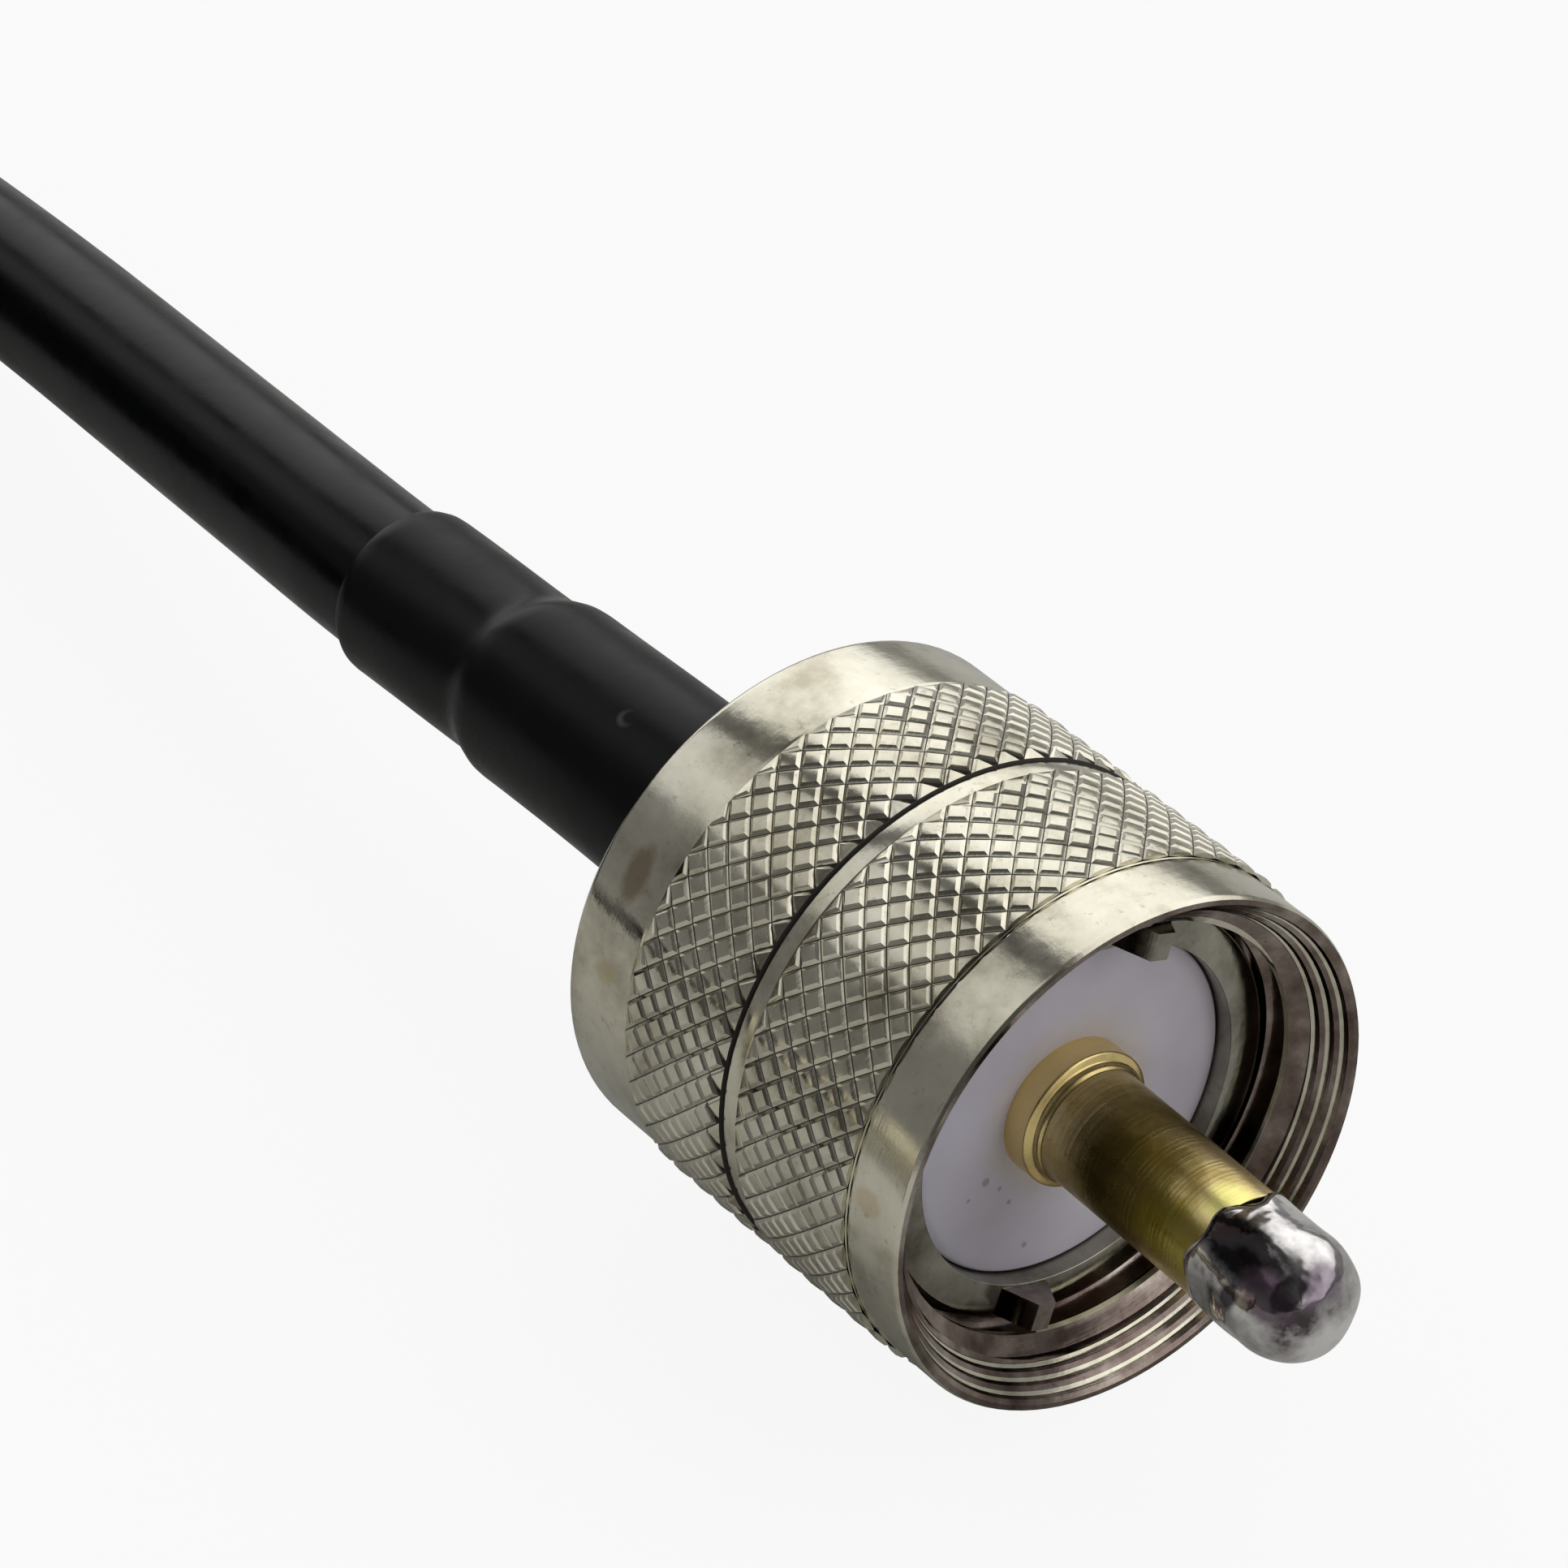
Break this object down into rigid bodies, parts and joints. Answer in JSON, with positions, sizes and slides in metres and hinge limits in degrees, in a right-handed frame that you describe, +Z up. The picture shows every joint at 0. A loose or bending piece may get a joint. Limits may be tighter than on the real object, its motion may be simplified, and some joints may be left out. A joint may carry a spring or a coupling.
{
  "type": "coaxial jumper cable",
  "caption": "Round coaxial cable with a knurled, threaded coupling plug crimped on each end, its spare length wound in a coil.",
  "frame": {"origin": "centre of the near plug's front contact face, on the axis of the plug and its coupling thread", "axes": "+X out of the near plug's mouth along its centre pin, +Z up from the surface that the lead lies on, +Y to the left of +X"},
  "size_m": [0.1583, 0.0764, 0.0184],
  "materials": {
    "nickel": "worn nickel plate on turned brass",
    "pin_plating": "thin gold plate",
    "insulator": "pale lavender moulded plastic",
    "solder": "dull solder",
    "shrink_tube": "satin heat-shrink tube",
    "jacket": "satin cable jacket",
    "braid": "tinned braid",
    "dielectric": "white foam",
    "copper": "bare copper wire"
  },
  "bodies": {
    "lead": {"plug_body": "nickel", "insulator": "insulator", "centre_pin": "pin_plating", "solder_tip": "solder", "crimp_ferrule": "nickel", "heat_shrink": "shrink_tube", "braid_end": "braid", "dielectric_end": "dielectric", "centre_conductor_end": "copper", "cable_run": "jacket", "cable_coil": "jacket", "cable_tail": "jacket", "far_plug_body": "nickel", "far_insulator": "insulator", "far_centre_pin": "pin_plating", "far_solder_tip": "solder", "far_crimp_ferrule": "nickel", "far_heat_shrink": "shrink_tube", "far_braid_end": "braid", "far_dielectric_end": "dielectric", "far_centre_conductor_end": "copper"},
    "near_nut": {"coupling_nut": "nickel"},
    "far_nut": {"far_coupling_nut": "nickel"}
  },
  "joints": [
    {"name": "near_nut_spin", "type": "hinge", "parent": "lead", "child": "near_nut", "pos_m": [0, 0, 0], "axis": [1, 0, 0], "continuous": true},
    {"name": "far_nut_spin", "type": "hinge", "parent": "lead", "child": "far_nut", "pos_m": [-0.02, -0.058, 0], "axis": [1, 0, 0], "continuous": true}
  ]
}
